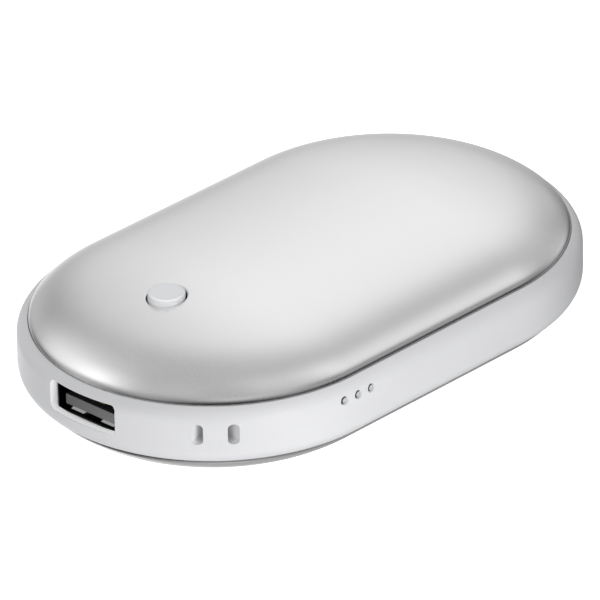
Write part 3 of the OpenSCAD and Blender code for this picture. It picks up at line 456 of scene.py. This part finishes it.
def new_piece(name, mesh, slot, body, node):
    """Puts a mesh into the scene with its finish, riding on a body in the place of a CAD node."""
    piece = bpy.data.objects.new(name, mesh)
    mesh.materials.append(finishes[slot])
    bpy.context.scene.collection.objects.link(piece)
    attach(piece, body)
    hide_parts(node)


def at_heights(plan, z):
    """Points in plan taken to these heights."""
    return np.concatenate([plan, np.broadcast_to(z, plan.shape[:-1])[..., None]], -1)


# ---------------------------------------------------------------- top cover


def cover_section():
    """The cover's half section from the crown's middle to the rim, as radius, drop and tilt.

    The tilt grows along the section by the three arcs' curvatures, crown, shoulder and edge, and each step from
    one curvature to the next is eased over a stretch of its own, so that reflections run on without a ring.
    Radius and drop are the running sums of the tilt's cosine and sine.
    """
    crown, shoulder, edge = 97.72 * MM, 12.7 * MM, 1.65 * MM
    crown_tilt, shoulder_tilt, rim_tilt = np.radians([13.4, 46.4, 86.0])  # where each arc ends
    shoulder_start = crown * crown_tilt
    edge_start = shoulder_start + shoulder * (shoulder_tilt - crown_tilt)
    end = edge_start + edge * (rim_tilt - shoulder_tilt)
    s = np.linspace(0, end, 6001)

    def eased(start, half):
        """0 to 1 on a smooth step that spans half to either side of start."""
        t = np.clip((s - start + half) / (2 * half), 0, 1)
        return t * t * (3 - 2 * t)

    def summed(rate):
        """Running sum of a rate along the section, by trapezia of one step s[1]."""
        return np.concatenate([[0], np.cumsum((rate[1:] + rate[:-1]) / 2) * s[1]])

    bend = 1 / crown + eased(shoulder_start, 6.5 * MM) * (1 / shoulder - 1 / crown)
    bend = bend + eased(edge_start, 0.8 * MM) * (1 / edge - 1 / shoulder)
    tilt = summed(bend)
    tilt = tilt * rim_tilt / tilt[-1]
    return summed(np.cos(tilt)), summed(np.sin(tilt)), tilt


def stadium(radius, columns):
    """Points spread evenly round a stadium of this radius, and the outward direction at each.

    One half runs along the front's straight side and round the end at +X. The other is the same, turned by half
    a turn.
    """
    half = 2 * HALF_LINE + math.pi * radius
    along = np.linspace(0, 2 * half, columns, endpoint=False)
    side = np.where(along < half, 1, -1)
    along = np.where(along < half, along, along - half)
    turn = np.maximum(along - 2 * HALF_LINE, 0) / radius - math.pi / 2
    out = np.stack([np.cos(turn), np.sin(turn)], -1) * side[:, None]
    middle = np.stack([(np.minimum(along, 2 * HALF_LINE) - HALF_LINE) * side, np.zeros(columns)], -1)
    return middle + out * radius, out


def top_shell():
    """The top cover, pressed from sheet, with the button's hole, its rim and its skirt.

    Columns run like rays from the button's axis to a stadium a little inside the rim, then square to it. The
    height is the section's, taken at the distance from the stadium's middle line. Each column goes up the hole's
    rounded edge, over the outside, down the skirt and back along the inside, a sheet's thickness below.
    """
    columns, crown_rings, shoulder_rings = 440, 75, 45
    rim, square = 29.35 * MM, 2.9 * MM  # the rim's radius, and the stretch before it with square columns
    hole_r, hole_edge = 3.22 * MM, 0.12 * MM  # the hole's radius, and its edge's rounding
    sheet = 0.8 * MM  # thickness of the metal
    skirt = np.array([0.15, 0.5, 0.85, 0.88, 0.9])[:, None] * MM  # depth of each ring down the skirt
    low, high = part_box("top_cover")
    top, rim_z = high[2], low[2] + skirt[-1, 0]
    section_r, section_drop, section_tilt = cover_section()
    section_r = section_r * rim / section_r[-1]
    section_drop = section_drop * (top - rim_z) / section_drop[-1]

    def outside_at(plan):
        """Height and tilt of the outside over points in plan, and the way down its slope in plan."""
        x, y = plan[..., 0], plan[..., 1]
        way = np.stack([np.sign(x) * np.maximum(np.abs(x) - HALF_LINE, 0), y], -1)
        r = np.linalg.norm(way, axis=-1, keepdims=True)
        return (top - np.interp(r[..., 0], section_r, section_drop), np.interp(r, section_r, section_tilt),
                way / np.maximum(r, 1e-9))

    centre = np.array(BUTTON)
    ring, out = stadium(rim - square, columns)
    length = np.linalg.norm(ring - centre, axis=1, keepdims=True)
    ray = (ring - centre) / length
    turns = np.radians([0, 25, 50, 72])[:, None, None]
    hole = centre + ray * (hole_r + hole_edge * (1 - np.cos(turns)))
    hole_z = outside_at(hole)[0]
    share = np.linspace(0, 1, crown_rings)[:, None, None] ** 1.15
    ease = 1 - (1 - np.linspace(0, 1, shoulder_rings)[1:, None, None]) ** 2
    outside = np.concatenate([centre + ray * (hole_r + (length - hole_r) * share), ring + out * square * ease])
    up, tilt, way = outside_at(outside)
    up[-1] = rim_z
    inside = (outside - sheet * np.sin(tilt) * way)[::-4]
    points = np.concatenate([
        at_heights(hole[:1], hole_z[:1] - sheet),
        at_heights(hole, hole_z - hole_edge * (1 - np.sin(turns[..., 0]))),
        at_heights(outside, up)[1:],
        at_heights(np.repeat(outside[-1:], len(skirt), 0), rim_z - skirt),
        at_heights(inside[:1], rim_z - skirt[-1]),
        at_heights(inside, (up - sheet * np.cos(tilt[..., 0]))[::-4])[:-1],
    ])
    new_piece("top_shell", grid_mesh("top_shell", points, True), "cover_metal", "case", "top_cover")


# ---------------------------------------------------------------- button


def rounded_profile(corners):
    """Points of a profile whose corners, given as (radius, height, rounding), are eased by short curves.

    Each corner is a quadratic curve that starts and ends its rounding away from the corner.
    """
    places = np.array([corner[:2] for corner in corners], float)
    t = np.linspace(0, 1, 7)[:, None]
    points = [places[:1]]
    for before, here, after, (*_, rounding) in zip(places, places[1:], places[2:], corners[1:]):
        start = here + (before - here) / np.linalg.norm(before - here) * rounding
        end = here + (after - here) / np.linalg.norm(after - here) * rounding
        points.append((1 - t) ** 2 * start + 2 * t * (1 - t) * here + t ** 2 * end)
    points.append(places[-1:])
    return np.concatenate(points)


def turned(name, axis, profile, columns=160):
    """A profile of radius and height turned round an upright axis: x = a + r cos t, y = b + r sin t."""
    turn = np.linspace(0, 2 * math.pi, columns, endpoint=False)
    around = np.stack([np.cos(turn), np.sin(turn)], -1)
    mesh = grid_mesh(name, at_heights(np.array(axis) + profile[:, :1, None] * around, profile[:, 1:]), False)
    shape = bmesh.new()
    shape.from_mesh(mesh)
    bmesh.ops.remove_doubles(shape, verts=shape.verts, dist=1e-7)
    shape.to_mesh(mesh)
    shape.free()
    return mesh


def button_cap():
    """The button in one turned moulding: stem, collar, cap, and a dished top inside a rounded ring."""
    low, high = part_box("power_button")
    bottom, top = low[2], high[2] - 0.25 * MM
    stem_r, collar_r = 2.3 * MM, 4.2 * MM
    collar_top = high[2] - 3.1 * MM
    collar_bottom = collar_top - 0.8 * MM
    profile = rounded_profile([
        (0, bottom, 0),
        (stem_r, bottom, 0.1 * MM),
        (stem_r, collar_bottom, 0.1 * MM),
        (collar_r, collar_bottom, 0.1 * MM),
        (collar_r, collar_top, 0.1 * MM),
        (CAP_R, collar_top, 0.1 * MM),
        (CAP_R, top - 0.02 * MM, 0.2 * MM),
        (CAP_R - 0.28 * MM, top, 0.1 * MM),
        (CAP_R - 0.6 * MM, top - 0.1 * MM, 0.12 * MM),
        (0, top - 0.14 * MM, 0),
    ])
    new_piece("button_cap", turned("button_cap", BUTTON, profile), "button_plastic", "button", "power_button")


# ---------------------------------------------------------------- stage


def make_camera():
    """The photograph's camera: seen past the outlet's corner, 28.9 degrees above the table."""
    azimuth, height, roll = 0.7814, 0.5040, 0.0218  # radians
    distance, off_right, off_up = 1301.5, 0.379, 0.588  # millimetres from the band's middle
    focal_pixels, picture_pixels, sensor = 8297, 600, 36
    across = Vector((math.cos(azimuth), -math.sin(azimuth), 0))
    ahead = Vector((math.sin(azimuth) * math.cos(height), math.cos(azimuth) * math.cos(height), -math.sin(height)))
    upward = Vector((math.sin(azimuth) * math.sin(height), math.cos(azimuth) * math.sin(height), math.cos(height)))
    right = across * math.cos(roll) - upward * math.sin(roll)
    up = across * math.sin(roll) + upward * math.cos(roll)
    place = (ahead * -distance - right * off_right - up * off_up) * MM + Vector((0, 0, MID_Z))
    data = bpy.data.cameras.new("camera")
    data.sensor_width = sensor
    data.lens = focal_pixels / picture_pixels * sensor
    data.clip_start = 0.1
    data.clip_end = 20
    camera = bpy.data.objects.new("camera", data)
    camera.matrix_world = Matrix((
        (right.x, up.x, -ahead.x, place.x),
        (right.y, up.y, -ahead.y, place.y),
        (right.z, up.z, -ahead.z, place.z),
        (0, 0, 0, 1),
    ))
    bpy.context.scene.collection.objects.link(camera)
    bpy.context.scene.camera = camera


def towards(azimuth, height):
    """Direction of this azimuth and height in degrees."""
    turn, lift = math.radians(azimuth), math.radians(height)
    return Vector((math.cos(turn) * math.cos(lift), math.sin(turn) * math.cos(lift), math.sin(lift)))


# The room's soft glows under their sharpness: azimuth and height in degrees, and strength
ROOM = {
    16: [
        (0, 82, 0.367), (-170, 66, 0.460), (105, 61, 0.365), (20, 57, 0.264), (-65, 53, 0.302), (-12, 48, 0.187),
        (-97, 45, 0.333), (40, 43, 0.777), (178, 42, 0.193), (93, 39, 0.311), (-130, 38, 0.543), (8, 36, 0.160),
        (145, 35, 0.567), (-25, 30, 0.098), (113, 28, 0.690), (28, 26, 0.101), (-5, 20, 0.256), (-90, 18, 0.279),
        (48, 17, 0.679), (-175, 15, 0.335), (100, 13, 0.261), (-17, 5, 0.347), (140, -4, 0.541), (55, -7, 0.135),
        (63, -31, 1.651), (0, -90, 0.620), (15, -58, 0.300),
    ],
    50: [
        (79, 5, 0.359), (22, 8, 0.308), (36, -10, 0.259), (134, 43, 0.882), (-80, 70, 0.366), (-41, 55, 0.534),
        (-37, 40, 0.716), (225, -43, 0.900), (262, -44, 0.900), (298, -44, 0.900), (327, -42, 0.900),
    ],
    70: [(-2, 6, 0.326), (-68, 19, 0.310), (-50, 14, 0.456)],
}


def make_room():
    """A room made of its glows alone.

    In direction d, a glow of sharpness k towards g adds strength * exp(k * (d . g - 1)).
    """
    world = bpy.data.worlds.new("room")
    world.use_nodes = True
    bpy.context.scene.world = world
    room = Nodes(world.node_tree)
    direction = room.node("ShaderNodeTexCoord", {}, {}, "Generated")
    total = 0.0
    for k, glows in ROOM.items():
        for azimuth, height, strength in glows:
            facing = room.node("ShaderNodeVectorMath", {"operation": "DOT_PRODUCT"},
                               {0: direction, 1: towards(azimuth, height) * k}, "Value")
            total = (facing + (math.log(strength) - k)).math("EXPONENT") + total
    room.tree.links.new(total.socket, room.tree.nodes["Background"].inputs["Color"])


def fill_lamp(name, place, size, power, aim):
    """A rectangular lamp that no camera and no gloss sees, so that it brightens matt surfaces only."""
    data = bpy.data.lights.new(name, "AREA")
    data.shape = "RECTANGLE"
    data.size, data.size_y = size
    data.energy = power
    lamp = bpy.data.objects.new(name, data)
    lamp.location = place
    lamp.rotation_mode = "QUATERNION"
    lamp.rotation_quaternion = (Vector(aim) - lamp.location).to_track_quat("-Z", "Y")
    lamp.visible_camera = False
    lamp.visible_glossy = False
    bpy.context.scene.collection.objects.link(lamp)


def make_lamps():
    """Lamps for the band: three large ones further off, and two small ones near the corner by the outlet."""
    distance, large, small = 0.7, (0.3, 0.2), (0.06, 0.05)
    body, corner = (0, 0, 0.01), (-0.02, -0.03, 0.01)
    for azimuth, height, power in ((150, -35, 1.18), (195, 5, 0.79), (240, -35, 1.60)):
        fill_lamp(f"fill_{azimuth}", towards(azimuth, height) * distance, large, power, body)
    fill_lamp("fill_corner", (-0.06, -0.16, 0.02), small, 0.069, corner)
    fill_lamp("fill_front", (-0.02, -0.08, 0.04), small, 0.0056, corner)


def make_table(half=6.0):
    """The pale table. Only the camera sees it, so it throws neither light nor shadow."""
    mesh = bpy.data.meshes.new("table")
    mesh.from_pydata([(-half, -half, 0), (half, -half, 0), (half, half, 0), (-half, half, 0)], [], [(0, 1, 2, 3)])
    table = bpy.data.objects.new("table", mesh)
    bpy.context.scene.collection.objects.link(table)
    f = Finish("table_top", Roughness=0.7, Specular_IOR_Level=0.2, Emission_Color=(1, 1, 1, 1),
               Emission_Strength=1.0)
    mesh.materials.append(f.paint(Base_Color=f.mix(f.noise(0.3), (0.89, 0.89, 0.89), (0.92, 0.92, 0.92))))
    table.visible_diffuse = False
    table.visible_glossy = False
    table.visible_shadow = False


bpy.context.scene.view_settings.view_transform = "Standard"
make_camera()
make_room()
make_lamps()
make_table()

finishes = make_finishes()
top_shell()
button_cap()
slots = {part["node"]: part["material_slot"] for part in frame["record"]["subparts"]}
for name, node in frame["nodes"].items():
    for slot in node.material_slots:
        slot.material = finishes[slots[name]]
